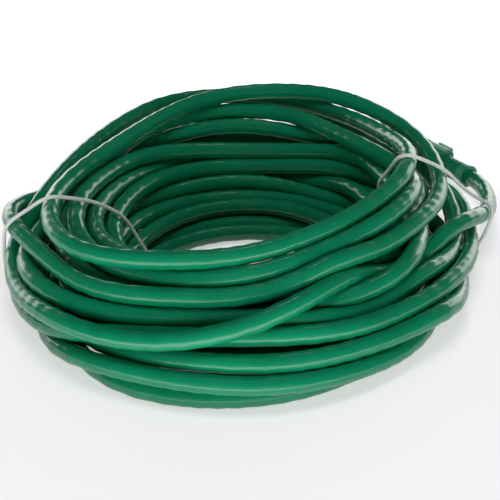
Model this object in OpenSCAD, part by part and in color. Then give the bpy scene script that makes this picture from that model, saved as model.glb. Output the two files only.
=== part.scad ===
// Ethernet patch cable with a round jacket, wound as a coil that two wire ties hold.
// +Z is up. The coil lies on the plane Z = 0, and its tied sides face +X and -X.

/* [Cable] */
// Outside diameter of the jacket
cable_d = 6.6; // [5.6:0.1:7]
// Air left between neighbouring turns of the coil
turn_gap = 1.1; // [1:0.1:1.5]

/* [Coil] */
// Radius of the outermost turn, to the middle of the cable
coil_r = 82; // [72:1:100]
// Number of turns in the whole coil
coil_turns = 22.6; // [18.6:1:23.6]
// How much further apart the layers lie between the ties than at them
coil_loft = 0.4; // [0:0.05:0.8]
// Backward lean of the pile, as a share of its height
coil_lean = 0.3; // [0:0.05:0.3]
// Difference between the outline of one layer and the next
coil_wander = 1; // [0:0.5:1]

/* [Ties] */
// Diameter of the coated tie wire
tie_d = 1.4; // [1:0.1:2]
// Length of the twisted tail of each tie
tie_tail = 16; // [10:1:25]

/* [Plug] */
// Width of the plug housing
plug_w = 11.68; // [11.2:0.01:14.2]
// Height of the plug housing without its latch
plug_h = 6.6; // [5.5:0.05:8]
// Length of the plug housing
plug_l = 21.46; // [20.5:0.01:26]
// Distance from one contact to the next
contact_pitch = 1.02; // [0.98:0.01:1.1]
// Thickness of one contact blade
contact_t = 0.3; // [0.25:0.05:0.35]
// Outside diameter of one insulated wire
wire_d = 0.95; // [0.8:0.05:1]
// Angle at which the free latch stands off the housing
latch_angle = 15; // [12:1:16]

/* [Boot] */
// Length of the ribbed tail of the boot
tail_l = 15; // [14:0.5:18]
// Length of the smooth body of the boot
body_l = 11; // [10.5:0.5:13]
// Wall of the boot around the housing
boot_wall = 0.9; // [0.7:0.1:1.5]
// Number of ribs on the tail
rib_count = 7; // [4:1:8]
// Length of housing that the boot grips
grip_l = 7; // [5:0.5:8]

/* [Hidden] */

jacket_green = [0.02, 0.42, 0.26];
boot_green = [0.01, 0.32, 0.2];
clear_plastic = [0.85, 0.9, 0.92, 0.45];
tie_white = [0.85, 0.85, 0.84];
contact_gold = [0.83, 0.65, 0.27];
fine = 48;
cut = 1; // how far a cut runs past the face it opens

// Middle of the coil, set so that the origin is under the middle of the whole cable
coil_x = -9.3;
coil_y = -17.14;

// Coil: each layer is a spiral of steady rate, and the cable drops a layer where the spiral reverses
layer_count = 4;
loop_rings = 24;
coil_sides = 6;
climb_turns = 0.5;
start_azimuth = -35;
pitch = cable_d + turn_gap;
layer_turns = coil_turns / layer_count;
foot_share = 0.1;
foot_z = cable_d * (0.5 - foot_share);
mid_z = foot_z + pitch * (layer_count - 1) / 2;
square_run = cable_d;
wander_step = 70;

// Ties: the coil is lifted off the ground where they pass under it
left_tie_azimuth = 180;
right_tie_azimuth = 18;
right_tie_skew = 12;
right_tie_held = 1;
between_ties = 10;
tie_gap = 0.3;
tie_sides = 6;
tie_corner_rings = 4;
tie_edge_rings = 3;
twist_turns = 3;
twist_rings = 6;
lift_h = tie_d + tie_gap + cable_d * foot_share;
lift_width = 14;
right_lift_width = 24;

// Leads from the ends of the coil to the tails of the boots
lead_sides = 12;
lead_a_route = [
    [79.5, -27, 26.5], [85.5, -14, 23.5], [88.7, 1, 20], [90, 16, 16], [91.8, 31, 12],
    [97, 44, 9], [101.7, 54.5, 7.4], [103.3, 62.5, 6.8]
];
lead_b_route = [[-13, 84.5, 3.2], [-4.5, 91, 3.3], [3.5, 97.5, 3.6], [11, 102.6, 4.1]];

// Where the tail of each boot lies, and how its plug is turned there
// Plug a lies on one side with its latch away from the coil, and plug b flat with its latch up
plug_a_at = [97.9, 73.7];
plug_a_yaw = 125;
plug_a_roll = 90;
plug_b_at = [25, 107];
plug_b_yaw = 8;
plug_b_roll = 0;

// Plug, from the tail of its boot at X = 0 to its nose, with the latch side at +Z
housing_wall = 1.1;
slide_gap = 0.05;
boot_w = plug_w + 2 * boot_wall;
boot_h = plug_h + 2 * boot_wall;
boot_l = tail_l + body_l;
tail_wall = 1.1;
tail_r = cable_d / 2 + tail_wall;
ring_flare = 0.5;
boot_corner = 3.2;
housing_x = boot_l - grip_l;
nose_x = housing_x + plug_l;
cavity_h = plug_h - 2 * housing_wall;
row_step = wire_d * 0.95;
row_z = 0.6;
wire_count = 8;
bore_gap = 0.1;
end_wall = 0.8;
bar_l = 3;
bar_edge = 0.4;
bar_w = (wire_count - 1) * contact_pitch + wire_d + 2 * bar_edge;
bar_back = 8.26;
bar_x = nose_x - bar_back;
untwist_l = 2.4;
jacket_end_l = bar_x - untwist_l - housing_x;
jacket_end_w = bar_w - bar_edge;
jacket_end_h = cavity_h - 2 * slide_gap;
jacket_end_corner = 1.55;
window_x = housing_x + grip_l + 0.6;
window_l = 3;
wedge_gap = 0.1;
blade_l = 4.4;
blade_recess = 0.15;
blade_nose_gap = 0.4;
slot_end_gap = 0.2;

// Latch: a sprung lever whose root turns in a groove near the nose
root_r = 0.55;
root_back = 2.2;
root_x = nose_x - root_back;
root_gap = 0.15;
root_z = plug_h / 2 + root_r + root_gap;
seat_gap = 0.1;
seat_wall = 1.2;
seat_open = 1;
latch_t = 1.1;
latch_l = 14.3;
latch_wide_l = 6.8;
latch_wide_w = 6.25;
latch_w = 3.25;
shoulder_l = 1.6;
shoulder_h = 0.8;

// Hood: a rounded shell on the boot, over the free end of the latch
// Its lower edge rises by hood_slope from its root, which leaves room to press it down
hood_t = 1.2;
hood_w = 8.8;
hood_gap = 0.45;
hood_r = 9;
hood_corner = 3;
hood_root_r = 0.9;
hood_tip = 2;
hood_slope = 12.5;
latch_tip_x = root_x - latch_l * cos(latch_angle);
latch_tip_z = root_z + latch_l * sin(latch_angle) + latch_t / 2;
hood_z = latch_tip_z + hood_gap - hood_r;
hood_top = latch_tip_z + hood_gap + hood_t;
hood_root_lift = 0.3;
hood_root_z = boot_h / 2 + hood_root_lift;
hood_root_x = latch_tip_x - sqrt(pow(hood_r + hood_t / 2, 2) - pow(hood_root_z - hood_z, 2));

function smooth_step(s) = s <= 0 ? 0 : s >= 1 ? 1 : s * s * (3 - 2 * s);
function angle_between(a, b) = abs(a - b - 360 * round((a - b) / 360));
function bump(azimuth, middle, width) = exp(-pow(angle_between(azimuth, middle) / width, 2));
function unit(v) = v / norm(v);

// Lanes in from the outermost turn, and layers up from the lowest, after t turns
function lane_at(t) = abs(t - 2 * layer_turns * round(t / (2 * layer_turns)));
function drop_at(t, k) = smooth_step((t - k * layer_turns) / climb_turns + 0.5);
function layer_at(t) = layer_count - 1 - drop_at(t, 1) - drop_at(t, 2) - drop_at(t, 3);

function coil_lift(azimuth) = lift_h
    * (bump(azimuth, left_tie_azimuth, lift_width) + bump(azimuth, right_tie_azimuth, right_lift_width));
function layer_pitch(azimuth) = pitch * (1 + coil_loft * pow(sin(azimuth - between_ties), 2));
function lean_back(p) = [p.x, p.y + coil_lean * (p.z - mid_z), p.z];
function coil_place(azimuth, lane, layer) =
    let (r = coil_r - pitch * lane + coil_wander * cos(2 * azimuth + wander_step * layer))
    let (z = foot_z + coil_lift(azimuth) + layer * layer_pitch(azimuth))
    lean_back([r * cos(azimuth), r * sin(azimuth), z]);
function coil_point(t) = coil_place(start_azimuth - 360 * t, lane_at(t), layer_at(t));

// Direction of a path at its point i, and the path with straight runs added to its ends
function path_way(path, i) = unit(path[min(i + 1, len(path) - 1)] - path[max(i - 1, 0)]);
function run_out(path, run) = concat(
    [path[0] - run * path_way(path, 0)],
    path,
    [path[len(path) - 1] + run * path_way(path, len(path) - 1)]
);
function moved(path) = [for (p = path) p + [coil_x, coil_y, 0]];

coil_path = run_out([for (i = [0:coil_turns * loop_rings]) coil_point(i / loop_rings)], square_run);
coil_start = coil_path[0];
coil_start_way = -path_way(coil_path, 0);
coil_end = coil_path[len(coil_path) - 1];
coil_end_way = path_way(coil_path, len(coil_path) - 1);

// Least distance from a path to its own later turns, less the cable
function to_segment(p, a, b) =
    let (s = min(1, max(0, (p - a) * (b - a) / ((b - a) * (b - a)))))
    norm(p - a - s * (b - a));
function least_gap(path, apart, d) = min([
    for (i = [0:len(path) - 2 - apart])
        min([for (j = [i + apart:len(path) - 2]) to_segment(path[i], path[j], path[j + 1])])
]) - d;

// One ring of a swept tube: a polygon square to the path, with no corner under the ground
function tube_ring(middle, way, r, sides, level) =
    let (side = unit(cross(level, way)))
    let (top = cross(way, side))
    [for (k = [0:sides - 1])
        let (p = middle + r * cos(360 * k / sides) * side + r * sin(360 * k / sides) * top)
        [p.x, p.y, max(p.z, 0)]];

module swept_tube(path, r, sides, level = [0, 0, 1]) {
    last = len(path) - 1;
    points = [for (i = [0:last]) each tube_ring(path[i], path_way(path, i), r, sides, level)];
    walls = [for (i = [0:last - 1], k = [0:sides - 1])
        let (a = i * sides + k)
        let (b = i * sides + (k + 1) % sides)
        each [[a, a + sides, b], [b, a + sides, b + sides]]];
    start_cap = [for (k = [1:sides - 2]) [0, k, k + 1]];
    end_cap = [for (k = [1:sides - 2]) [last * sides, last * sides + k + 1, last * sides + k]];
    polyhedron(points, concat(walls, start_cap, end_cap));
}

module cable_coil() {
    echo(coil_least_gap = least_gap(coil_path, loop_rings / 2, cable_d));
    color(jacket_green) swept_tube(moved(coil_path), cable_d / 2, coil_sides);
}

// The tail of each boot, and the forward direction of its plug along the ground
plug_a_tail = [plug_a_at.x, plug_a_at.y, boot_w / 2];
plug_a_way = [cos(plug_a_yaw), sin(plug_a_yaw), 0];
plug_b_tail = [plug_b_at.x, plug_b_at.y, max(tail_r + ring_flare, boot_h / 2)];
plug_b_way = [cos(plug_b_yaw), sin(plug_b_yaw), 0];

// A lead goes straight out of the coil, along its route, and straight into the boot as far as the housing
module lead(start, start_way, route, tail, way) {
    path = concat([start, start + square_run * start_way], route,
        [tail - square_run * way, tail, tail + housing_x * way]);
    color(jacket_green) swept_tube(moved(path), cable_d / 2, lead_sides);
}
module cable_lead_a() { lead(coil_start, coil_start_way, lead_a_route, plug_a_tail, plug_a_way); }
module cable_lead_b() { lead(coil_end, coil_end_way, lead_b_route, plug_b_tail, plug_b_way); }

// Section of the tied bundle, as radii and heights of the middle of the tie wire round it
tie_reach = cable_d / 2 + tie_gap + tie_d / 2;
tie_in_r = coil_r - pitch * layer_turns - coil_wander - tie_reach;
tie_out_r = coil_r + coil_wander + tie_reach;
tie_low_z = tie_d / 2;
twist_gap = 0.16;
twist_r = (tie_d + twist_gap) / 2;
twist_z = tie_low_z + twist_r;
function tie_wide_r(held) = tie_out_r + held * pitch;
function tie_top_z(azimuth) =
    foot_z + coil_lift(azimuth) + (layer_count - 1) * layer_pitch(azimuth) + tie_reach;

// A point of a tie, from its radius, its distance to the side and its height; the tie may run askew
function tie_place(azimuth, skew, r, side, z) =
    let (share = (2 * r - tie_in_r - tie_out_r) / (tie_out_r - tie_in_r))
    let (a = azimuth - skew * min(1, max(-1, share)))
    lean_back([r * cos(a) - side * sin(a), r * sin(a) + side * cos(a), z]);
function tie_arc(azimuth, skew, r, z, from) = [
    for (k = [0:tie_corner_rings - 1])
        let (a = from + 90 * k / (tie_corner_rings - 1))
        tie_place(azimuth, skew, r + tie_reach * cos(a), 0, z + tie_reach * sin(a))
];
function tie_edge(azimuth, skew, r1, r2, z) = [
    for (k = [1:tie_edge_rings])
        tie_place(azimuth, skew, r1 + (r2 - r1) * k / (tie_edge_rings + 1), 0, z)
];
function tie_twist(azimuth, skew, phase) = [
    for (k = [1:twist_turns * twist_rings])
        let (a = phase + 360 * k / twist_rings)
        tie_place(azimuth, skew, tie_in_r - tie_reach - tie_tail * k / (twist_turns * twist_rings),
            twist_r * sin(a), twist_z - twist_r * cos(a))
];
function backwards(path) = [for (i = [len(path) - 1:-1:0]) path[i]];
function tie_path(azimuth, skew, held) =
    let (in_r = tie_in_r + tie_reach)
    let (out_r = tie_wide_r(held) - tie_reach)
    let (low_z = tie_low_z + tie_reach)
    let (top_z = tie_top_z(azimuth) - tie_reach)
    concat(
        backwards(tie_twist(azimuth, skew, 0)),
        [tie_place(azimuth, skew, tie_in_r, 0, tie_low_z)],
        tie_edge(azimuth, skew, in_r, out_r, tie_low_z),
        tie_arc(azimuth, skew, out_r, low_z, -90),
        tie_arc(azimuth, skew, out_r, top_z, 0),
        tie_edge(azimuth, skew, out_r, in_r, top_z + tie_reach),
        tie_arc(azimuth, skew, in_r, top_z, 90),
        [tie_place(azimuth, skew, tie_in_r - tie_d / 3, 0, twist_z + 3 * twist_r)],
        [tie_place(azimuth, skew, tie_in_r - tie_reach / 2, 0, twist_z + 1.2 * twist_r)],
        tie_twist(azimuth, skew, 180)
    );
module tie(azimuth, skew, held) {
    path = moved(tie_path(azimuth, skew, held));
    color(tie_white) swept_tube(path, tie_d / 2, tie_sides, [-sin(azimuth), cos(azimuth), 0]);
}
module tie_left() { tie(left_tie_azimuth, 0, 0); }
module tie_right() { tie(right_tie_azimuth, right_tie_skew, right_tie_held); }

// Where plug a or b lies
module at_plug(tail, yaw, roll) {
    translate(tail + [coil_x, coil_y, 0]) rotate([0, 0, yaw]) rotate([roll, 0, 0]) children();
}
module at_plug_a() { at_plug(plug_a_tail, plug_a_yaw, plug_a_roll) children(); }
module at_plug_b() { at_plug(plug_b_tail, plug_b_yaw, plug_b_roll) children(); }

module along_x(x, l, r1, r2) {
    translate([x, 0, 0]) rotate([0, 90, 0]) cylinder(h = l, r1 = r1, r2 = r2, $fn = fine);
}
module along_y(x, z, r, l) {
    translate([x, l / 2, z]) rotate([90, 0, 0]) cylinder(h = l, r = r, $fn = fine);
}
module block_x(x, l, w, z1, z2) {
    translate([x, -w / 2, z1]) cube([l, w, z2 - z1]);
}
module round_block_x(x, l, w, h, r) {
    block_x(x, l, w - 2 * r, -h / 2, h / 2);
    block_x(x, l, w, -h / 2 + r, h / 2 - r);
    for (sy = [-1, 1], sz = [-1, 1])
        translate([0, sy * (w / 2 - r), sz * (h / 2 - r)]) along_x(x, l, r, r);
}

// Boot: a smooth end ring, ribs, and a body that grips the housing
ring_l = 4.5;
collar_l = 1.5;
collar_run = 1;
rib_pitch = (tail_l - ring_l - collar_l) / rib_count;
rib_l = rib_pitch * 0.66;
neck_r = max(tail_r, boot_h / 2 - bore_gap);
groove_depth = 0.5;
bore_r = cable_d / 2 + bore_gap;
function boot_r(x) = tail_r + (neck_r - tail_r) * x / tail_l;
module boot() {
    color(boot_green) difference() {
        union() {
            along_x(0, ring_l, boot_r(0) + ring_flare, boot_r(ring_l));
            along_x(ring_l / 2, tail_l - ring_l / 2,
                boot_r(ring_l / 2) - groove_depth, neck_r - groove_depth);
            for (x = [ring_l + rib_pitch:rib_pitch:tail_l - collar_l + rib_l / 2])
                along_x(x - rib_l, rib_l, boot_r(x - rib_l), boot_r(x));
            along_x(tail_l - collar_l + rib_pitch - rib_l, collar_l + collar_run, neck_r, neck_r);
            round_block_x(tail_l, body_l, boot_w, boot_h, boot_corner);
            block_x(hood_root_x - 2 * hood_root_r, 2 * hood_root_r, hood_w, 0, hood_root_z);
        }
        along_x(-cut, boot_l, bore_r, bore_r);
        block_x(housing_x - slide_gap, body_l, plug_w + 2 * slide_gap,
            -plug_h / 2 - slide_gap, plug_h / 2 + slide_gap);
        along_y(hood_root_x, hood_root_z, hood_root_r + seat_gap, hood_w + cut);
    }
}

// Hood: a shell with a round root that turns in the boot
module hood_form(arch_r, w, top, corner) {
    intersection() {
        along_y(latch_tip_x, hood_z, arch_r, hood_w + cut);
        round_block_x(0, nose_x, w, 2 * top, corner);
    }
}
module hood() {
    color(boot_green) {
        along_y(hood_root_x, hood_root_z, hood_root_r, hood_w);
        intersection() {
            difference() {
                hood_form(hood_r + hood_t, hood_w, hood_top, hood_corner);
                hood_form(hood_r, hood_w - 2 * hood_t, hood_top - hood_t, hood_corner - hood_t);
            }
            block_x(hood_root_x, latch_tip_x + hood_tip - hood_root_x, hood_w, 0, hood_top);
            translate([hood_root_x, 0, hood_root_z]) rotate([0, -hood_slope, 0])
                block_x(-hood_top, nose_x, 2 * hood_w, 0, nose_x);
        }
    }
}

// Places of the eight wires across the plug, alternating between two rows
function wire_y(i) = (i - (wire_count - 1) / 2) * contact_pitch;
function wire_z(i) = row_z + (i % 2 == 0 ? -row_step / 2 : row_step / 2);
module wires_bore(x, l) {
    for (i = [0:wire_count - 1])
        translate([0, wire_y(i), wire_z(i)]) along_x(x, l, (wire_d + bore_gap) / 2, (wire_d + bore_gap) / 2);
}

module housing() {
    color(clear_plastic) difference() {
        union() {
            block_x(housing_x, plug_l, plug_w, -plug_h / 2, plug_h / 2);
            block_x(root_x, root_r + seat_wall, latch_wide_w, 0, root_z + root_r / 2);
        }
        block_x(housing_x - cut, bar_x + bar_l + slide_gap - housing_x + cut, bar_w + 2 * slide_gap,
            -cavity_h / 2, cavity_h / 2);
        wires_bore(bar_x, nose_x - end_wall - bar_x);
        for (i = [0:wire_count - 1])
            translate([0, wire_y(i), 0])
                block_x(nose_x - blade_l - blade_nose_gap - slot_end_gap, 2 * blade_l,
                    contact_t + bore_gap, -plug_h, wire_z(i));
        block_x(window_x, window_l, jacket_end_w, -plug_h, 0);
        along_y(root_x, root_z, root_r + seat_gap, plug_w);
        block_x(root_x - seat_open, seat_open, plug_w, root_z - root_r - seat_gap, plug_h);
    }
}

// Latch: a wide root with locking shoulders, and a narrow free end
module latch() {
    color(clear_plastic) {
        along_y(root_x, root_z, root_r, latch_wide_w);
        translate([root_x, 0, root_z]) rotate([0, latch_angle, 0]) {
            block_x(-latch_wide_l, latch_wide_l, latch_wide_w, -latch_t / 2, latch_t / 2);
            block_x(-latch_l, latch_l, latch_w, -latch_t / 2, latch_t / 2);
            block_x(-latch_wide_l, shoulder_l, latch_wide_w, 0, latch_t / 2 + shoulder_h);
        }
    }
}

module contacts() {
    color(contact_gold)
        for (i = [0:wire_count - 1])
            translate([0, wire_y(i), 0])
                block_x(nose_x - blade_l - blade_nose_gap, blade_l, contact_t,
                    -plug_h / 2 + blade_recess, wire_z(i) - wire_d / 2 - slide_gap);
}

module load_bar() {
    color(clear_plastic) difference() {
        block_x(bar_x, bar_l, bar_w, -cavity_h / 2 + slide_gap, cavity_h / 2 - slide_gap);
        wires_bore(bar_x - cut, bar_l + 2 * cut);
    }
}

module crimp_wedge() {
    color(clear_plastic)
        block_x(window_x + wedge_gap, window_l - 2 * wedge_gap, jacket_end_w - 2 * wedge_gap,
            -plug_h / 2 + 2 * wedge_gap, -jacket_end_h / 2);
}

// The jacket's end, pressed flat where it lies in the housing
module cable_end() {
    color(jacket_green)
        round_block_x(housing_x, jacket_end_l, jacket_end_w, jacket_end_h, jacket_end_corner);
}

// One twisted pair, untwisted along the plug: pins counted from 0
module wire_pair(pins, pair_color) {
    start_x = housing_x + jacket_end_l;
    color(pair_color)
        for (i = pins)
            translate([0, wire_y(i), wire_z(i)])
                along_x(start_x, nose_x - end_wall - slide_gap - start_x, wire_d / 2, wire_d / 2);
}
orange_pins = [0, 1];
green_pins = [2, 5];
blue_pins = [3, 4];
brown_pins = [6, 7];
orange = [0.9, 0.45, 0.08];
green = [0.1, 0.55, 0.2];
blue = [0.12, 0.25, 0.7];
brown = [0.4, 0.22, 0.1];

module boot_a() { at_plug_a() boot(); }
module hood_a() { at_plug_a() hood(); }
module housing_a() { at_plug_a() housing(); }
module latch_a() { at_plug_a() latch(); }
module contacts_a() { at_plug_a() contacts(); }
module load_bar_a() { at_plug_a() load_bar(); }
module crimp_wedge_a() { at_plug_a() crimp_wedge(); }
module cable_end_a() { at_plug_a() cable_end(); }
module wires_orange_a() { at_plug_a() wire_pair(orange_pins, orange); }
module wires_green_a() { at_plug_a() wire_pair(green_pins, green); }
module wires_blue_a() { at_plug_a() wire_pair(blue_pins, blue); }
module wires_brown_a() { at_plug_a() wire_pair(brown_pins, brown); }
module boot_b() { at_plug_b() boot(); }
module hood_b() { at_plug_b() hood(); }
module housing_b() { at_plug_b() housing(); }
module latch_b() { at_plug_b() latch(); }
module contacts_b() { at_plug_b() contacts(); }
module load_bar_b() { at_plug_b() load_bar(); }
module crimp_wedge_b() { at_plug_b() crimp_wedge(); }
module cable_end_b() { at_plug_b() cable_end(); }
module wires_orange_b() { at_plug_b() wire_pair(orange_pins, orange); }
module wires_green_b() { at_plug_b() wire_pair(green_pins, green); }
module wires_blue_b() { at_plug_b() wire_pair(blue_pins, blue); }
module wires_brown_b() { at_plug_b() wire_pair(brown_pins, brown); }

cable_coil();
cable_lead_a();
cable_lead_b();
tie_left();
tie_right();
boot_a();
hood_a();
housing_a();
latch_a();
contacts_a();
load_bar_a();
crimp_wedge_a();
cable_end_a();
wires_orange_a();
wires_green_a();
wires_blue_a();
wires_brown_a();
boot_b();
hood_b();
housing_b();
latch_b();
contacts_b();
load_bar_b();
crimp_wedge_b();
cable_end_b();
wires_orange_b();
wires_green_b();
wires_blue_b();
wires_brown_b();
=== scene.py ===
import math

import bpy
import numpy as np
from mathutils import Matrix, Vector


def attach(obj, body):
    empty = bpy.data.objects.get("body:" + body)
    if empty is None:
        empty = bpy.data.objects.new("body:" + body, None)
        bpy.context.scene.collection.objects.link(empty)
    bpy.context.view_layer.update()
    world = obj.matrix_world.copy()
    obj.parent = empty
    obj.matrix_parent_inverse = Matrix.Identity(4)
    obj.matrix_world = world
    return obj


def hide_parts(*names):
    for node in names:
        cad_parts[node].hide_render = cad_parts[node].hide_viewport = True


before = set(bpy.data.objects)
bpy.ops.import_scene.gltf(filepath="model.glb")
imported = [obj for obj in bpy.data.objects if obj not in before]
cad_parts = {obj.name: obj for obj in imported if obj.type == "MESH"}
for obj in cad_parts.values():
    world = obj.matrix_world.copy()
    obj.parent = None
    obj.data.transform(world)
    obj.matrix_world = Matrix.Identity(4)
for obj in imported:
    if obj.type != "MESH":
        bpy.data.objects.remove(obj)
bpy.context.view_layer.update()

# Shapes are given in millimetres round the middle of the coil, as in the CAD source, and place() turns
# them into the frame's metres. Materials, floor and lights are in the frame's metres.
COIL_MIDDLE = (-9.3, -17.14, 0.0)
CABLE_D = 6.6
TIE_D = 1.4


def place(points):
    """Points in millimetres round the coil's middle, in the frame's metres."""
    return (np.asarray(points, float) + COIL_MIDDLE) / 1000


# Camera

VIEW_ELEVATION = 30
VIEW_DISTANCE = 427
VIEW_TARGET = (4.0, 0.0, 13.0)
camera = bpy.data.objects.new("camera", bpy.data.cameras.new("camera"))
camera.data.sensor_width = 36
camera.data.lens = 82.8
tilt = math.radians(VIEW_ELEVATION)
back_off = [0, -VIEW_DISTANCE * math.cos(tilt), VIEW_DISTANCE * math.sin(tilt)]
camera.location = place(np.array(VIEW_TARGET) + back_off)
camera.rotation_euler = (math.pi / 2 - tilt, 0, 0)
bpy.context.collection.objects.link(camera)
bpy.context.scene.camera = camera

# Cable, from boot A's tail to boot B's. Each strand is a weight and the points that the cable passes
# through. The weight says how firmly the cable keeps to them: it is 1 where the photograph shows the
# strand, and less where the strand is half hidden, hidden or guessed.

FIRST_STRANDS = [
    (1, [
        (97.9, 73.7, 6.74), (101, 67.5, 6.74), (102.4, 60.7, 6.85), (102.1, 53.7, 7.6),
        (100.7, 46.3, 8.9), (98.3, 37.5, 10.6), (95.2, 28.5, 12.5), (91, 19.5, 14.6),
        (85.6, 10.8, 16.8), (79.5, 3.6, 18.2), (73, -3.5, 19.2), (67.5, -11, 20)
    ]),
    (1, [
        (53, -29, 21.5), (39, -42, 23), (25, -54, 24.5), (12, -65, 25.5), (0, -71, 25),
        (-12, -73, 23.5), (-24, -72, 21.5), (-34, -69, 20), (-48, -63, 18), (-60, -52, 16),
        (-70, -40, 15), (-77, -27, 14.5), (-81, -14, 15), (-81, -5, 17), (-79, 2, 19.5), (-77, 11, 22),
        (-74, 19, 24.5), (-71, 27, 27), (-67, 39, 29), (-61, 52, 30.5), (-55, 63, 31.5), (-47, 76, 32),
        (-39, 89, 32), (-29, 99, 31.5), (-18, 104, 31), (-3, 106, 30.5), (13, 104, 30.5), (28, 97, 31),
        (40, 86, 32), (52, 69, 33.5), (59, 52, 35), (63, 37, 36.5), (64, 23, 38)
    ]),
    (1, [
        (62, 13, 39), (58, 3, 39), (49, -7, 38.5), (35, -26, 38), (18, -39, 38), (3, -47, 38),
        (-12, -50, 37.5), (-25, -49, 37), (-36, -47, 36.5), (-45, -44, 36), (-53, -39, 35.5),
        (-60, -30, 35), (-65, -20, 34.5), (-67, -9, 34), (-67, 2, 34), (-65, 14, 34), (-59, 25, 34.5),
        (-51, 40, 35.5), (-40, 56, 36.5), (-27, 75, 37), (-17, 85, 37), (-5, 93, 37), (11, 96, 37),
        (26, 95, 37), (38, 89, 37), (51, 80, 37), (61, 67, 36.5), (69, 56, 35.5), (73, 46, 34),
        (76, 36, 32)
    ]),
    (1, [
        (75, 23, 30.5), (74, 13, 29.5), (69, -1, 29), (61, -14, 29), (53, -24, 29), (46, -30, 29),
        (34, -42, 29), (23, -50, 29), (8, -56, 29), (-10, -59, 28.5), (-28, -58, 27.5),
        (-38, -54, 26.5), (-49, -47, 26), (-57, -38, 25.5), (-65, -27, 25), (-74, -14, 24.5),
        (-81, -5, 24)
    ]),
    (1, [
        (-85, 4, 24), (-84.5, 11, 23.5), (-81, 18, 23), (-75, 24, 22.5)
    ]),
    (0.3, [
        (-67, 31, 22.5), (-59, 41, 22.5), (-50, 54, 22), (-39, 68, 21.5), (-24, 79, 21), (-6, 84, 20.5),
        (13, 83.5, 20.5), (31, 78, 20.5), (47, 69, 20.5), (60, 57, 20.5), (70, 45, 20)
    ]),
    (1, [
        (85, 44, 20), (87, 38, 18), (88, 30, 15.5), (89, 22, 12.7), (88, 13, 11.5), (86, 4, 11.8)
    ]),
    (1, [
        (83, -8, 13), (78, -20, 13.5), (69, -34, 15), (58, -46, 16.5), (47, -54, 17.5), (36, -61, 18.5),
        (20, -66, 19.5), (4, -66, 19.5)
    ]),
    (0.3, [
        (-12, -66, 18.5), (-30, -64, 16), (-46, -58, 13), (-59, -49, 10.5), (-70, -37, 9.5),
        (-78, -22, 9), (-82, -6, 9), (-82, 10, 10), (-78, 26, 12), (-71, 43, 14.5), (-61, 60, 17),
        (-49, 77, 20), (-34, 92, 22.5), (-15, 103, 24), (4, 107, 24), (22, 104, 24), (40, 94, 24),
        (55, 79, 23.5), (67, 60, 22.5), (76, 38, 21)
    ]),
    (1, [
        (82, 31, 18), (83, 20, 16), (80, 10, 15), (75, -4, 15.5), (68, -17, 17), (56, -32, 19.5),
        (37, -48, 21.5), (24, -56, 22)
    ]),
    (0.3, [
        (8, -60, 22.5), (-8, -61, 23)
    ]),
    (1, [
        (-25, -57, 23), (-41, -57, 22), (-50, -53, 21.5), (-58, -47, 21), (-66, -39, 20.5),
        (-73, -29, 20), (-77, -18, 20), (-78, -9, 20)
    ]),
    (0.5, [
        (-76, 8, 20.5), (-70, 24, 22.5), (-62, 38, 24)
    ]),
    (1, [
        (-49, 52, 25), (-38, 68, 26), (-26, 76, 27), (-13, 80, 27.5), (4, 80, 27.5), (21, 78, 28)
    ]),
    (0.5, [
        (40, 67, 26), (54, 52, 26.5), (64, 36, 27.5)
    ]),
    (0.8, [
        (70, 30, 28), (69, 18, 28), (64, 3, 28), (57, -9, 27.5), (50, -19, 27)
    ]),
    (0.4, [
        (35, -38, 26), (20, -46, 25.5), (4, -50, 25), (-14, -52, 24.5), (-32, -49, 24), (-47, -41, 24),
        (-58, -28, 24), (-64, -10, 25), (-65, 8, 26), (-60, 26, 27), (-50, 46, 27.5)
    ]),
    (1, [
        (-38, 67, 28), (-26, 79, 29), (-13, 89, 30), (0, 90, 30.5), (13, 84, 31), (25, 77, 31.5),
        (37, 62, 32.5), (48, 45, 33), (54, 31, 33)
    ]),
    (1, [
        (68, 25, 33), (66, 14, 32.5), (62, 1, 32.5), (58, -8, 32.5), (47, -21, 32.5), (35, -33, 33),
        (24, -41, 34), (8, -50, 34), (-10, -53, 32.5), (-25, -50, 30.5), (-37, -43, 29.5),
        (-47, -33, 29)
    ]),
    (1, [
        (-55, -22, 29.5), (-58, -12, 30), (-59, 1, 30), (-57, 14, 30), (-52, 32, 29), (-44, 47, 27.5),
        (-33, 57, 26), (-17, 62, 24.5), (4, 64, 23.5), (25, 60, 23.5), (41, 53, 24), (50, 45, 25)
    ]),
    (0.4, [
        (57, 26, 28), (59, 12, 30)
    ]),
]
# The hidden turns start at this right end (x, z). Each has its front (y, z), left (x, z), back (y, z) and
# right (x, z), and how far towards the back its left end lies.
FIRST_RIGHT = (57, 31)
HIDDEN_TURNS = [
    ((-43, 29), (-53, 25), (72, 15.5), (60, 24), 0),
    ((-46, 22.5), (-46.5, 20.5), (62, 18.5), (66, 24), 0),
    ((-53, 19), (-59, 21.5), (66, 10), (54, 20), 0),
    ((-60, 16.5), (-53.3, 15.8), (55.5, 13.5), (61, 17.5), -8),
    ((-47, 16), (-46.7, 15.8), (49.5, 9), (55, 13.5), -10),
    ((-42, 10), (-43.3, 10.3), (42, 9), (50, 8.5), -12),
    ((-40, 4), (-40, 4.8), (31, 3.3), (50, 4.8), -12),
    ((-46.5, 3.3), (-46.5, 4.8), (38.5, 3.3), (56.5, 4.8), -12),
    ((-53, 3.3), (-53, 4.8), (46, 3.3), (63, 4.8), -8),
    ((-60, 3.3), (-50, 10.3), (54.5, 3.3), (70, 4.8), -4),
    ((-67, 3.3), (-56.5, 10.3), (63, 3.3), (61, 10.5), 0),
    ((-56, 9.5), (-60, 4.8), (71, 3.3), (68, 10.5), 0),
    ((-66, 10), (-64, 10.5), (79, 3.3), (78, 9), 0),
]
HIDDEN_ANGLES = range(30, 360, 30)  # degrees round from the right end
HIDDEN_WEIGHT, HIDDEN_RIGHT_WEIGHT = 0.25, 0.3
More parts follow.
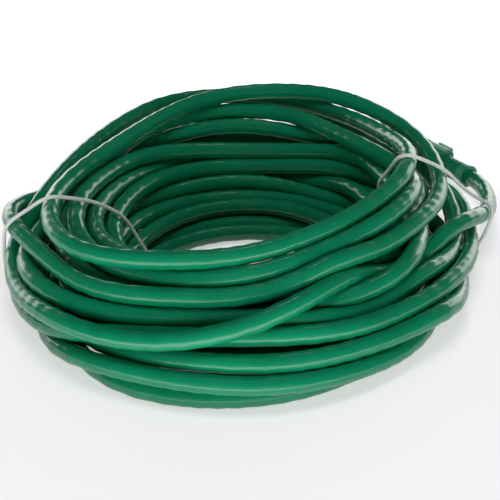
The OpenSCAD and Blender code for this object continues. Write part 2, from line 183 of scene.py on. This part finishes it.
LAST_STRANDS = [
    (1, [
        (81, -8, 8), (77, -21, 8.5), (70, -34, 9.5), (62, -46, 10.5), (53, -54, 11.5), (45, -62, 12.5),
        (36, -66, 13), (20, -73, 14), (4, -74, 14), (-12, -72, 14), (-25, -68, 13.5), (-38, -61, 13),
        (-52, -52, 12.5), (-64, -44, 12)
    ]),
    (0.3, [
        (-70, -30, 13), (-74, -14, 14), (-75, 3, 14), (-74, 20, 13), (-69, 37, 12), (-61, 54, 11),
        (-49, 69, 10.5), (-33, 81, 10), (-15, 90, 10), (4, 93, 10), (22, 90, 10), (40, 80, 10),
        (55, 65, 9.5), (66, 46, 9), (73, 26, 7), (74, 6, 5), (72, -14, 4.8)
    ]),
    (1, [
        (68, -31, 5), (62, -43, 6), (53, -54, 7), (43, -63, 8), (29, -73, 9), (17, -78, 9), (4, -79, 9),
        (-12, -78, 9), (-28, -74, 9), (-38, -70, 8.5), (-48, -63, 8), (-57, -56, 7.5), (-64, -46, 6.5),
        (-66, -37, 5.5)
    ]),
    (0.3, [
        (-69, -25, 5), (-72, -8, 4.8), (-73, 10, 4.8), (-71, 27, 4.5), (-65, 45, 3.5), (-55, 61, 3.3),
        (-42, 75, 3.3), (-26, 86, 3.3), (-9, 90.5, 3.3), (10, 91, 3.3), (28, 86, 3.3), (45, 76, 3.3),
        (59, 61, 3.5), (68, 43, 4.2), (73, 24, 4.4), (74, 5, 4.4), (70, -14, 3.6)
    ]),
    (1, [
        (66, -30, 3), (57, -43, 3), (49, -52, 3), (41, -60, 3), (32, -67, 3), (20, -73, 3), (4, -77, 3),
        (-10, -77, 3), (-25, -75, 3), (-35, -71, 3), (-46, -64, 3), (-54, -56, 3)
    ]),
    (0.3, [
        (-61, -44, 3.8), (-65, -28, 4.8), (-67, -10, 4.8), (-67, 8, 4.8), (-65, 26, 4.5),
        (-60, 44, 3.5), (-52, 61, 3.3), (-40, 77, 3.3)
    ]),
    (1, [
        (-27, 89.5, 3.3), (-14, 96, 3.3), (-2, 101, 3.4), (10, 104.3, 3.9), (18.5, 106.1, 4.6),
        (25, 107, 4.9)
    ]),
]


def turn_strands(first, turns):
    """The hidden turns, each from its right end round the front, left and back to the next right end."""
    strands = []
    for n, (front, left, back, right, backward) in enumerate(turns):
        points = []
        for angle in HIDDEN_ANGLES:
            c, s = math.cos(math.radians(angle)), -math.sin(math.radians(angle))
            end = (first if angle < 180 else right) if c > 0 else left
            side = front if s < 0 else back
            y = abs(side[0]) * s + (backward * c * c if c < 0 else 0)
            points.append((abs(end[0]) * c, y, end[1] * c * c + side[1] * s * s))
        strands.append((HIDDEN_WEIGHT, points))
        if n < len(turns) - 1:
            strands.append((HIDDEN_RIGHT_WEIGHT, [(right[0], 0.0, right[1])]))
        first = right
    return strands


def distance_along(line):
    """How far along a line each of its points lies."""
    return np.concatenate([[0], np.cumsum(np.linalg.norm(np.diff(line, axis=0), axis=1))])


SPLINE_SAMPLES = 16  # points between two given ones, before they are spaced evenly


def spline(points, step):
    """Rows at an even step along a centripetal spline. Columns after the first three are carried along."""
    points = np.asarray(points, float)
    ext = np.vstack([2 * points[0] - points[1], points, 2 * points[-1] - points[-2]])
    s = np.linspace(0, 1, SPLINE_SAMPLES, endpoint=False)[:, None]
    s2, s3 = s ** 2, s ** 3
    fine = []
    for p0, p1, p2, p3 in zip(ext, ext[1:], ext[2:], ext[3:]):
        spans = ((p0, p1), (p1, p2), (p2, p3))
        t01, t12, t23 = (max(np.linalg.norm((b - a)[:3]), 1e-6) ** 0.5 for a, b in spans)
        m1 = (p2 - p1) + t12 * ((p1 - p0) / t01 - (p2 - p0) / (t01 + t12))
        m2 = (p2 - p1) + t12 * ((p3 - p2) / t23 - (p3 - p1) / (t12 + t23))
        start, end = 2 * s3 - 3 * s2 + 1, 3 * s2 - 2 * s3
        fine.append(start * p1 + (s3 - 2 * s2 + s) * m1 + end * p2 + (s3 - s2) * m2)
    fine = np.vstack(fine + [ext[-2:-1]])
    along = distance_along(fine[:, :3])
    even = np.linspace(0, along[-1], int(round(along[-1] / step)) + 1)
    return np.column_stack([np.interp(even, along, column) for column in fine.T])


PAIR_BLOCK = 400  # segments compared with all others at a time, which keeps the arrays small


def close_pairs(line, reach, apart):
    """Pairs of segments whose middles lie within reach, at least apart segments from each other."""
    middle = (line[:-1] + line[1:]) / 2
    found = []
    for start in range(0, len(middle), PAIR_BLOCK):
        d2 = ((middle[start:start + PAIR_BLOCK, None] - middle[None]) ** 2).sum(2)
        i, j = np.nonzero(d2 < reach * reach)
        i = i + start
        keep = j - i >= apart
        found.append(np.stack([i[keep], j[keep]]))
    return np.hstack(found)


def closest(line, i, j):
    """Shares along segments i and j where they come closest, and the vector from j's point to i's."""
    d1, d2, r = line[i + 1] - line[i], line[j + 1] - line[j], line[i] - line[j]
    a, e, f, c, b = ((x * y).sum(1) for x, y in ((d1, d1), (d2, d2), (d2, r), (d1, r), (d1, d2)))
    den = a * e - b * b
    s = np.where(den > 1e-9, np.clip((b * f - c * e) / np.maximum(den, 1e-9), 0, 1), 0.5)
    t = np.clip((b * s + f) / e, 0, 1)
    s = np.clip((b * t - c) / a, 0, 1)
    return s, t, (line[i] + s[:, None] * d1) - (line[j] + t[:, None] * d2)


SETTLE_ROW = 6.2  # mm from one point of the settling line to the next
SETTLE_STEPS = 250
BEND_PASSES = 2  # smoothings in each step, for the cable and for the ties
SETTLE_PULL = 0.10  # share of the way back to its goal that a point of weight 1 takes in the first step
SETTLE_STIFFNESS = 0.08
SETTLE_PUSH = 1.3  # over 1, so that strands come apart in fewer steps
HELD_ENDS = 4  # points at each end that stay at their goals
PAIRS_LAST = 8  # steps before the close pairs are looked up again
PAIR_REACH = CABLE_D + 9  # how near two segments' middles are in a close pair
PAIR_APART = 6  # how many segments lie between them along the cable, at least
STRAND_GAP = 0.02  # left between strands that were pushed apart


def settle(rows):
    """The cable as a bending line with a thickness: strands push each other apart and rest on the ground."""
    goal, weight = rows[:, :3], rows[:, 3:4]
    line = goal.copy()
    for step in range(SETTLE_STEPS):
        line += SETTLE_PULL * (1 - step / SETTLE_STEPS) * weight * (goal - line)
        for _ in range(BEND_PASSES):
            curve = np.zeros_like(line)
            curve[1:-1] = line[:-2] - 2 * line[1:-1] + line[2:]
            bend = SETTLE_STIFFNESS * (curve[:-2] - 2 * curve[1:-1] + curve[2:])
            line[HELD_ENDS:-HELD_ENDS] -= bend[HELD_ENDS - 1:1 - HELD_ENDS]
        if step % PAIRS_LAST == 0:
            i, j = close_pairs(line, PAIR_REACH, PAIR_APART)
        s, t, v = closest(line, i, j)
        gap = np.linalg.norm(v, axis=1)
        hit = gap < CABLE_D
        hi, hj, s, t, v, gap = i[hit], j[hit], s[hit], t[hit], v[hit], gap[hit]
        push = v / np.maximum(gap, 1e-6)[:, None] * (CABLE_D + STRAND_GAP - gap)[:, None] / 2
        moved, count = np.zeros_like(line), np.zeros(len(line))
        for index, share, way in ((hi, 1 - s, 1), (hi + 1, s, 1), (hj, 1 - t, -1), (hj + 1, t, -1)):
            np.add.at(moved, index, way * push * share[:, None])
            np.add.at(count, index, share)
        line += SETTLE_PUSH * moved / np.maximum(count, 1)[:, None]
        line[:, 2] = np.maximum(line[:, 2], CABLE_D / 2)
        line[:HELD_ENDS], line[-HELD_ENDS:] = goal[:HELD_ENDS], goal[-HELD_ENDS:]
    return line


all_strands = FIRST_STRANDS + turn_strands(FIRST_RIGHT, HIDDEN_TURNS) + LAST_STRANDS
rows = np.array([(*point, weight) for weight, strand in all_strands for point in strand], float)
settled = settle(spline(rows, SETTLE_ROW))

# Where each plug lies: the middle of its boot's tail, its yaw and its roll. PLUG_FRAMES has that point,
# the plug's way forward, its width and its height.
PLUG_FRAMES = {}
for letter, tail, yaw, roll in (("a", (97.9, 73.7, 6.74), 125, 90), ("b", (25.0, 107.0, 4.9), 8, 0)):
    turn = Matrix.Rotation(math.radians(yaw), 3, "Z") @ Matrix.Rotation(math.radians(roll), 3, "X")
    PLUG_FRAMES[letter] = (np.array(tail), *(np.array(turn.col[k]) for k in range(3)))
HOUSING_X = 19.0  # from the boot's tail forward to the back of the housing, where the pressed end starts

# The cable runs straight into each boot, along the plug's way, and is hidden there
STRAIGHT_STEP = 3.2
CABLE_ROW = 1.6  # mm from one ring of the tube to the next
tail_a, way_a = PLUG_FRAMES["a"][:2]
tail_b, way_b = PLUG_FRAMES["b"][:2]
into_a = [tail_a + way_a * x for x in np.arange(HOUSING_X - 0.2, 2, -STRAIGHT_STEP)]
into_b = [tail_b + way_b * x for x in np.arange(STRAIGHT_STEP, HOUSING_X, STRAIGHT_STEP)]
centreline = spline(np.vstack([into_a, settled, into_b]), CABLE_ROW)


def ring_frames(line):
    """The side and top of a line at each point, carried along it without twist."""
    way = np.gradient(line, axis=0)
    way /= np.linalg.norm(way, axis=1)[:, None]
    side = np.empty_like(way)
    s = np.cross([0, 0, 1.0], way[0])
    for k, w in enumerate(way):
        s = s - w * (s @ w)
        s /= np.linalg.norm(s)
        side[k] = s
    return side, np.cross(way, side)


def new_mesh(name, points, faces, smooth=True):
    """A new object in the scene with a mesh of these points, in metres, and faces."""
    mesh = bpy.data.meshes.new(name)
    mesh.from_pydata(np.asarray(points).tolist(), [], faces)
    mesh.polygons.foreach_set("use_smooth", [smooth] * len(mesh.polygons))
    mesh.update()
    made = bpy.data.objects.new(name, mesh)
    bpy.context.collection.objects.link(made)
    return made


def skin(rings):
    """The faces of a closed skin over rings of points: quads from ring to ring, and the two ends."""
    count, sides = rings.shape[:2]
    k, m = np.meshgrid(np.arange(count - 1), np.arange(sides), indexing="ij")
    a, b = k * sides + m, k * sides + (m + 1) % sides
    faces = np.stack([a, b, b + sides, a + sides], -1).reshape(-1, 4).tolist()
    last = (count - 1) * sides
    return faces + [list(range(sides))[::-1], list(range(last, last + sides))]


LOWEST = 0.02  # mm over the ground, the lowest that a tube reaches


def tube(name, line, radius, sides):
    """A swept tube round line, in millimetres. radius is a number, or one per ring and side."""
    side, top = ring_frames(line)
    angle = 2 * np.pi * np.arange(sides) / sides
    r = np.broadcast_to(np.asarray(radius, float), (len(line), sides))[:, :, None]
    c, s = np.cos(angle)[:, None], np.sin(angle)[:, None]
    rings = line[:, None] + r * (c * side[:, None] + s * top[:, None])
    rings[..., 2] = np.maximum(rings[..., 2], LOWEST)
    return new_mesh(name, place(rings.reshape(-1, 3)), skin(rings))


# The four twisted pairs show through the jacket as ridges. Each pair goes round the cable's middle once in
# CABLE_LAY, and swells twice in each of its own lays. The radius is CABLE_D / 2 - JACKET_INSET where the
# ridges add up to RIDGE_LEVEL, and their tops stand a little outside CABLE_D / 2.
CABLE_LAY = 95
PAIR_LAYS = (11.5, 13.5, 16.5, 20.0)
PAIR_PHASE = 1.7  # radians between the swells of one pair and the next
RIDGE_SHARPNESS = 2.2
RIDGE_BASE, RIDGE_SWELL = 0.55, 0.45
RIDGE_LEVEL = 0.45
RIDGE_H = 0.22
JACKET_INSET = 0.09


def jacket_radius(line, sides):
    """The jacket's radius at each ring and side, with a long, low ridge over each pair."""
    along = distance_along(line)[:, None]
    angle = 2 * np.pi * np.arange(sides)[None] / sides
    swell = 0
    for pair, lay in enumerate(PAIR_LAYS):
        off = angle - (2 * np.pi * along / CABLE_LAY + pair * np.pi / 2)
        ridge = np.exp(RIDGE_SHARPNESS * (np.cos(off) - 1))
        twist = np.cos(4 * np.pi * along / lay + PAIR_PHASE * pair)
        swell = swell + ridge * (RIDGE_BASE + RIDGE_SWELL * twist)
    return CABLE_D / 2 - JACKET_INSET + RIDGE_H * (swell - RIDGE_LEVEL)


CABLE_SIDES = 16
cable = tube("cable", centreline, jacket_radius(centreline, CABLE_SIDES), CABLE_SIDES)
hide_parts("cable_coil", "cable_lead_a", "cable_lead_b")
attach(cable, "cable")

# Wire ties, each drawn tight round the strands that it holds

TIE_GOAL_STEP = 1.2  # mm from one point of the settling wire to the next
TIE_ROW = 0.5  # and of the finished one
TIE_SIDES = 10
TIE_STEPS = 100
TIE_PULL = 0.08
TIE_SMOOTHING = 0.4
TIE_GAP = 0.15  # from the wire to the cable
EASED_ROWS = 5  # points to each side that a push carries along, over EASED_WIDTH
EASED_WIDTH = 4
KNOT_OUT = 1.5  # from the loop's ends to the start of the twisted tail
TAIL_L = 16.0
TAIL_TURNS = 3
TAIL_ROWS = 12  # points in each turn of the tail
TAIL_GAP = 0.16  # between its two wires


def wrap(goals):
    """A springy wire drawn round the strands: it keeps near its goals, bends smoothly and stays outside."""
    goal = spline(goals, TIE_GOAL_STEP)
    line, start, run = goal.copy(), settled[:-1], settled[1:] - settled[:-1]
    reach = CABLE_D / 2 + TIE_D / 2 + TIE_GAP
    for step in range(TIE_STEPS):
        line += TIE_PULL * (1 - step / TIE_STEPS) * (goal - line)
        for _ in range(BEND_PASSES):
            line[1:-1] += TIE_SMOOTHING * ((line[:-2] + line[2:]) / 2 - line[1:-1])
        share = np.clip(((line[:, None] - start) * run).sum(2) / (run * run).sum(1), 0, 1)
        off = line[:, None] - start - share[..., None] * run
        far = np.linalg.norm(off, axis=2)
        near = far.argmin(1)
        off, far = off[np.arange(len(line)), near], far.min(1)
        push = off / far[:, None] * np.maximum(reach - far, 0)[:, None]
        eased = push.copy()
        for shift in range(1, EASED_ROWS + 1):
            for side in (shift, -shift):
                other = np.roll(push, side, axis=0) * math.exp(-(shift / EASED_WIDTH) ** 2)
                longer = np.linalg.norm(other, axis=1) > np.linalg.norm(eased, axis=1)
                eased[longer] = other[longer]
        line += eased
        line[:, 2] = np.maximum(line[:, 2], TIE_D / 2 + LOWEST)
    return line


def tie(name, node_name, goals):
    """A coated wire round the strands, its two ends twisted together on the ground inside."""
    loop = wrap(goals)
    out = (loop[0] - loop[len(loop) // 2]) * (1, 1, 0)
    out /= np.linalg.norm(out)
    across = np.array([-out[1], out[0], 0])
    share = np.linspace(0, 1, TAIL_TURNS * TAIL_ROWS + 1)
    r = (TIE_D + TAIL_GAP) / 2
    knot = (loop[0] + loop[-1]) / 2 + out * KNOT_OUT
    knot[2] = TIE_D / 2 + r
    ends = []
    for side in (0.0, math.pi):
        angle = (side + 2 * np.pi * TAIL_TURNS * share)[:, None]
        end = knot + out * TAIL_L * share[:, None] + across * r * np.sin(angle)
        end[:, 2:] += r * np.cos(angle)
        ends.append(end)
    whole = np.vstack([ends[1][::-1], loop, ends[0]])
    made = tube(name, spline(whole, TIE_ROW), TIE_D / 2, TIE_SIDES)
    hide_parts(node_name)
    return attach(made, "cable")


LEFT_TIE = [
    (-34, 3, 1.5), (-35, 2, 6), (-36, 2, 11.5), (-37, 3, 14), (-39, 4.5, 18), (-41.5, 5, 22),
    (-44, 4, 26), (-47.5, 4, 29), (-51, 3.5, 31), (-54.5, 2, 33.5), (-58, -1, 35), (-62.5, -4.5, 37),
    (-66.5, -8, 38), (-70.5, -8, 36.5), (-74.5, -7, 34), (-78.5, -7, 31.5), (-81, -8.5, 29),
    (-83, -9, 26.5), (-84.5, -8, 22), (-85.5, -6, 15.5), (-85.5, -4, 10), (-84.5, -3, 4),
    (-80, -2, 0.9), (-70, 0, 0.7), (-60, 1, 0.7), (-50, 2, 0.7), (-42, 3, 0.7), (-36, 3, 0.8),
]
RIGHT_TIE = [
    (45, 23.5, 1.5), (46.5, 23.5, 6), (49, 23.5, 12), (52, 23, 20), (55, 23, 27.5), (56, 23.5, 31),
    (57, 23, 34.5), (58.5, 20, 38.5), (59.5, 15.5, 42), (61.5, 13, 44.5), (64, 14, 44), (68, 16.5, 42),
    (71.5, 19.5, 40), (76, 23, 35.5), (81.5, 26, 29.5), (87.5, 28, 23.5), (91, 29.5, 20),
    (94, 29, 17.5), (95, 23, 17), (94.5, 15, 17.5), (95, 15.5, 15), (95, 16.5, 12.5), (94, 17, 7),
    (91, 15, 2.5), (86, 16, 0.8), (76, 18, 0.7), (66, 20, 0.7), (56, 22, 0.7), (50, 23, 0.7),
    (45, 23.5, 0.8),
]
ties = [tie("wire_tie_left", "tie_left", LEFT_TIE), tie("wire_tie_right", "tie_right", RIGHT_TIE)]

# Materials


def material(name, **sockets):
    """A new node material with its principled shader's sockets set, that shader and its node tree."""
    made = bpy.data.materials.new(name)
    made.use_nodes = True
    shader = made.node_tree.nodes["Principled BSDF"]
    for socket, value in sockets.items():
        shader.inputs[socket.replace("_", " ")].default_value = value
    return made, shader, made.node_tree


def node(tree, kind, inputs=(), **settings):
    """A node with its settings, and its inputs set to values or linked from sockets."""
    made = tree.nodes.new(kind)
    for key, value in settings.items():
        setattr(made, key, value)
    for key, value in dict(inputs).items():
        if isinstance(value, bpy.types.NodeSocket):
            tree.links.new(value, made.inputs[key])
        else:
            made.inputs[key].default_value = value
    return made


def maths(tree, operation, a, b=None):
    """The result of one operation on one or two values or sockets."""
    inputs = {0: a} if b is None else {0: a, 1: b}
    return node(tree, "ShaderNodeMath", inputs, operation=operation).outputs[0]


def measure(tree, operation, a, b):
    """The number that an operation on two vectors gives, such as a dot product or a distance."""
    return node(tree, "ShaderNodeVectorMath", {0: a, 1: b}, operation=operation).outputs["Value"]


def object_coordinates(tree):
    """Each piece's own coordinates, so that its pattern moves with it."""
    return node(tree, "ShaderNodeTexCoord").outputs["Object"]


NOISE_RANGE = (0.3, 0.7)  # most of the noise lies between these


def noise(tree, where, scale, detail=3.0, roughness=0.5):
    """Noise of about scale features to the metre."""
    inputs = {"Vector": where, "Scale": scale, "Detail": detail, "Roughness": roughness}
    return node(tree, "ShaderNodeTexNoise", inputs).outputs[0]


def ramp(tree, factor, colors):
    """Noise turned into a colour between the two colours."""
    made = node(tree, "ShaderNodeValToRGB", {"Fac": factor})
    for stop, at, color in zip(made.color_ramp.elements, NOISE_RANGE, colors):
        stop.position, stop.color = at, (*color, 1)
    return made.outputs["Color"]


def spread(tree, factor, in_range, out_range):
    """A value carried from one range over to another."""
    inputs = {"Value": factor, "From Min": in_range[0], "From Max": in_range[1],
              "To Min": out_range[0], "To Max": out_range[1]}
    return node(tree, "ShaderNodeMapRange", inputs).outputs["Result"]


def bump(tree, height, distance, strength, under=None):
    """A bumped normal from a height, over the normal under it where one is given."""
    inputs = {"Height": height, "Distance": distance, "Strength": strength}
    if under is not None:
        inputs["Normal"] = under
    return node(tree, "ShaderNodeBump", inputs).outputs["Normal"]


def moulded(name, dark, light, rough, grain, patch, depth, **sockets):
    """A plastic or metal with faint uneven colour, broad changes of gloss, and a fine grain.

    grain and patch are features to the metre, and depth is how deep the grain goes, in metres.
    """
    made, shader, tree = material(name, **sockets)
    where = object_coordinates(tree)
    broad = noise(tree, where, patch, 4.0)
    tree.links.new(ramp(tree, broad, (dark, light)), shader.inputs["Base Color"])
    gloss = noise(tree, where, patch * 3.1, 5.0, 0.6)
    tree.links.new(spread(tree, gloss, NOISE_RANGE, rough), shader.inputs["Roughness"])
    fine = bump(tree, noise(tree, where, grain, 2.0), depth, 0.5)
    uneven = bump(tree, noise(tree, where, patch * 6, 3.0), depth * 4, 0.6, fine)
    tree.links.new(uneven, shader.inputs["Normal"])
    return made


jacket = moulded("jacket_pvc", (0.002, 0.215, 0.098), (0.003, 0.265, 0.124), rough=(0.17, 0.27),
                 grain=1500.0, patch=45.0, depth=0.00002)
vinyl = moulded("boot_vinyl", (0.008, 0.270, 0.142), (0.012, 0.330, 0.175), rough=(0.32, 0.44),
                grain=3200.0, patch=80.0, depth=0.00002)
coating = moulded("tie_coating", (0.74, 0.78, 0.76), (0.86, 0.89, 0.87), rough=(0.32, 0.45),
                  grain=2400.0, patch=120.0, depth=0.00002)
clear = moulded("plug_clear", (0.90, 0.94, 0.95), (0.97, 0.985, 0.99), rough=(0.03, 0.09),
                grain=900.0, patch=90.0, depth=0.000006, Transmission_Weight=1.0, IOR=1.585)
insert = moulded("plug_insert", (0.78, 0.82, 0.83), (0.88, 0.91, 0.92), rough=(0.12, 0.22),
                 grain=1400.0, patch=160.0, depth=0.00001, Transmission_Weight=0.75, IOR=1.585)
gold = moulded("contact_gold", (0.80, 0.56, 0.20), (0.92, 0.70, 0.30), rough=(0.16, 0.30),
               grain=5200.0, patch=420.0, depth=0.000006, Metallic=1.0)

BAND_PITCH = 0.0021  # metres from one coloured band on the white wire to the next
BAND_LEVEL = 0.45  # the sine value below which that wire is white
WIRE_WHITE = (0.82, 0.82, 0.78, 1)
WIRE_ROUGH = (0.3, 0.45)


def wire_material(name, color, letter, edge, white_above):
    """The insulation of a pair: one wire in its colour, and the other white with bands of it."""
    tail, way, across, _ = PLUG_FRAMES[letter]
    made, shader, tree = material(name)
    where = object_coordinates(tree)
    edge_at = float(place(tail) @ across) + edge / 1000
    side = maths(tree, "GREATER_THAN" if white_above else "LESS_THAN",
                 measure(tree, "DOT_PRODUCT", where, tuple(across)), edge_at)
    along = measure(tree, "DOT_PRODUCT", where, tuple(way))
    wave = maths(tree, "SINE", maths(tree, "MULTIPLY", along, 2 * math.pi / BAND_PITCH))
    band = maths(tree, "LESS_THAN", wave, BAND_LEVEL)
    white = maths(tree, "MULTIPLY", side, band)
    shade = ramp(tree, noise(tree, where, 700.0), (tuple(0.85 * c for c in color), color))
    mixed = node(tree, "ShaderNodeMix", {"Factor": white, "A": shade, "B": WIRE_WHITE}, data_type="RGBA")
    tree.links.new(mixed.outputs["Result"], shader.inputs["Base Color"])
    gloss = spread(tree, noise(tree, where, 1800.0), NOISE_RANGE, WIRE_ROUGH)
    tree.links.new(gloss, shader.inputs["Roughness"])
    tree.links.new(bump(tree, noise(tree, where, 4200.0), 0.00001, 0.5), shader.inputs["Normal"])
    return made


PITCH = 1.02  # mm from one contact to the next
# Each pair's colour, where its two wires part across the plug, and whether the white one lies above that
PAIRS = {
    "orange": ((0.80, 0.26, 0.02), -3 * PITCH, False),
    "green": ((0.02, 0.30, 0.06), 0.0, False),
    "blue": ((0.02, 0.07, 0.50), 0.0, True),
    "brown": ((0.15, 0.06, 0.02), 3 * PITCH, False),
}
# The other pieces of a plug, which share their materials
PLUG_MATERIALS = {"boot": vinyl, "hood": vinyl, "housing": clear, "latch": clear, "contacts": gold,
                  "load_bar": insert, "crimp_wedge": insert}


def finish_with(obj, made):
    """Gives an object this material and no other."""
    obj.data.materials.clear()
    obj.data.materials.append(made)


finish_with(cable, jacket)
for piece in ties:
    finish_with(piece, coating)
for letter in "ab":
    for part, made in PLUG_MATERIALS.items():
        finish_with(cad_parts[f"{part}_{letter}"], made)
    for color_name, (color, edge, white_above) in PAIRS.items():
        made = wire_material(f"insulation_{color_name}_{letter}", color, letter, edge, white_above)
        finish_with(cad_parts[f"wires_{color_name}_{letter}"], made)

# The jacket's pressed end inside each housing

END_L, END_W, END_H = 10.8, 8.49, 4.3
END_FIT = 0.985  # share of the width and height of the CAD piece
END_GAP = 0.05  # left free before and after it
END_RINGS, END_SIDES = 26, 40
END_CORNERS = (0.55, 0.62)  # below 1, which makes each ring a rounded block and not an ellipse
LIP_L, LIP_DROP = 0.045, 0.16  # share of the length that rounds over at the cut, and by how much it shrinks
DENT_AT, DENT_L, DENT_H = 9.1, 1.6, 0.22  # where the wedge bears


def pressed_end(letter):
    """A flattened jacket, rounded at its cut, with a shallow dent where the wedge bears on it."""
    tail, way, across, up = PLUG_FRAMES[letter]
    angle = 2 * np.pi * np.arange(END_SIDES) / END_SIDES
    c, s = np.cos(angle), np.sin(angle)
    rings = []
    for share in np.arange(END_RINGS) / (END_RINGS - 1):
        x = HOUSING_X + END_GAP + (END_L - 2 * END_GAP) * share
        past = max(0.0, (share - (1 - LIP_L)) / LIP_L)
        lip = math.sqrt(max(0.0, 1 - past ** 2)) * LIP_DROP + (1 - LIP_DROP)
        y = END_W / 2 * END_FIT * lip * np.sign(c) * np.abs(c) ** END_CORNERS[0]
        z = END_H / 2 * END_FIT * lip * np.sign(s) * np.abs(s) ** END_CORNERS[1]
        dent = DENT_H * math.exp(-((x - HOUSING_X - DENT_AT) / DENT_L) ** 2)
        z = np.where(z < 0, z + dent * (1 - np.abs(c)), z)
        rings.append(tail + way * x + y[:, None] * across + z[:, None] * up)
    made = new_mesh(f"jacket_end_{letter}", place(np.vstack(rings)), skin(np.array(rings)))
    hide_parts(f"cable_end_{letter}")
    finish_with(made, jacket)
    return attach(made, "cable")


for letter in "ab":
    pressed_end(letter)

# Floor: pale paper that takes the light and the shadow. Seen directly, in gloss or through the plugs it
# also glows, fully from GLOW_FULL metres out, so that the background is white. Nearer the object it glows
# less, which paints a grey shade round the object on top of the real shadow that the floor takes.

FLOOR_LIT = (0.88, 0.83, 0.865, 1)
WHITE = (1, 1, 1, 1)
GLOW_MIDDLE = (0, -0.06, 0)
GLOW_STARTS, GLOW_FULL = 0.12, 0.27
GLOW_IN_PAINTED_SHADE = 0.5  # the lower glow near the object, which paints a grey shade round it and lets its real shadow show
floor = new_mesh("floor", [(-4, -4, 0), (4, -4, 0), (4, 4, 0), (-4, 4, 0)], [[0, 1, 2, 3]], smooth=False)
floor.location.z = -0.0001
paper = bpy.data.materials.new("pale_floor")
paper.use_nodes = True
tree = paper.node_tree
tree.nodes.clear()
ray = node(tree, "ShaderNodeLightPath").outputs
seen = maths(tree, "MAXIMUM", ray["Is Camera Ray"], ray["Is Glossy Ray"])
seen = maths(tree, "MAXIMUM", seen, ray["Is Transmission Ray"])
lit = node(tree, "ShaderNodeBsdfDiffuse", {"Color": FLOOR_LIT}).outputs[0]
position = node(tree, "ShaderNodeNewGeometry").outputs["Position"]
away = measure(tree, "DISTANCE", position, GLOW_MIDDLE)
# Glow that falls off towards the object: painted shade round the object
glow = maths(tree, "MULTIPLY", seen, spread(tree, away, (GLOW_STARTS, GLOW_FULL), (GLOW_IN_PAINTED_SHADE, 1.0)))
bright = node(tree, "ShaderNodeEmission", {"Color": WHITE, "Strength": glow}).outputs[0]
both = node(tree, "ShaderNodeAddShader", {0: lit, 1: bright}).outputs[0]
node(tree, "ShaderNodeOutputMaterial", {"Surface": both})
floor.data.materials.append(paper)

# World: white where it is seen directly or through the plugs, dim as a light, and dimmer in gloss

WORLD_LIGHT, WORLD_GLOSS = 0.08, 0.03
world = bpy.data.worlds.new("studio")
bpy.context.scene.world = world
world.use_nodes = True
tree = world.node_tree
tree.nodes.clear()
ray = node(tree, "ShaderNodeLightPath").outputs
seen = maths(tree, "MAXIMUM", ray["Is Camera Ray"], ray["Is Transmission Ray"])
dim = spread(tree, ray["Is Glossy Ray"], (0.0, 1.0), (WORLD_LIGHT, WORLD_GLOSS))
level = maths(tree, "MAXIMUM", seen, dim)
sky = node(tree, "ShaderNodeBackground", {"Color": WHITE, "Strength": level}).outputs[0]
node(tree, "ShaderNodeOutputWorld", {"Surface": sky})


def softbox(name, at, size, power, mirrored=True, toward=(0, 0, 0.02)):
    """A soft light at a place, facing the object or another point. Gloss shows it where it is mirrored."""
    lamp = bpy.data.lights.new(name, "AREA")
    lamp.shape, lamp.energy = "RECTANGLE", power
    lamp.size, lamp.size_y = size
    made = bpy.data.objects.new(name, lamp)
    made.location = at
    made.rotation_euler = (Vector(toward) - Vector(at)).to_track_quat("-Z", "Y").to_euler()
    made.visible_camera = False
    made.visible_glossy = mirrored
    bpy.context.collection.objects.link(made)


# table_front faces up and stands for the lit table in front of the object
softbox("softbox_top", (0.0, -0.12, 1.0), (0.4, 0.4), 2.1, mirrored=False)
softbox("softbox_front", (0.0, -0.62, 0.12), (0.9, 0.2), 2.1, mirrored=False)
softbox("table_front", (0.0, -0.25, 0.001), (0.6, 0.26), 1.1, toward=(0.0, -0.25, 1.0))
softbox("strip_top", (0.1, 0.5, 0.9), (0.1, 0.1), 0.2)
softbox("softbox_left", (-0.7, 0.96, 0.23), (1.1, 0.44), 5.0)
softbox("softbox_right", (0.7, 0.96, 0.25), (1.1, 0.48), 5.4)

bpy.context.scene.view_settings.view_transform = "Standard"
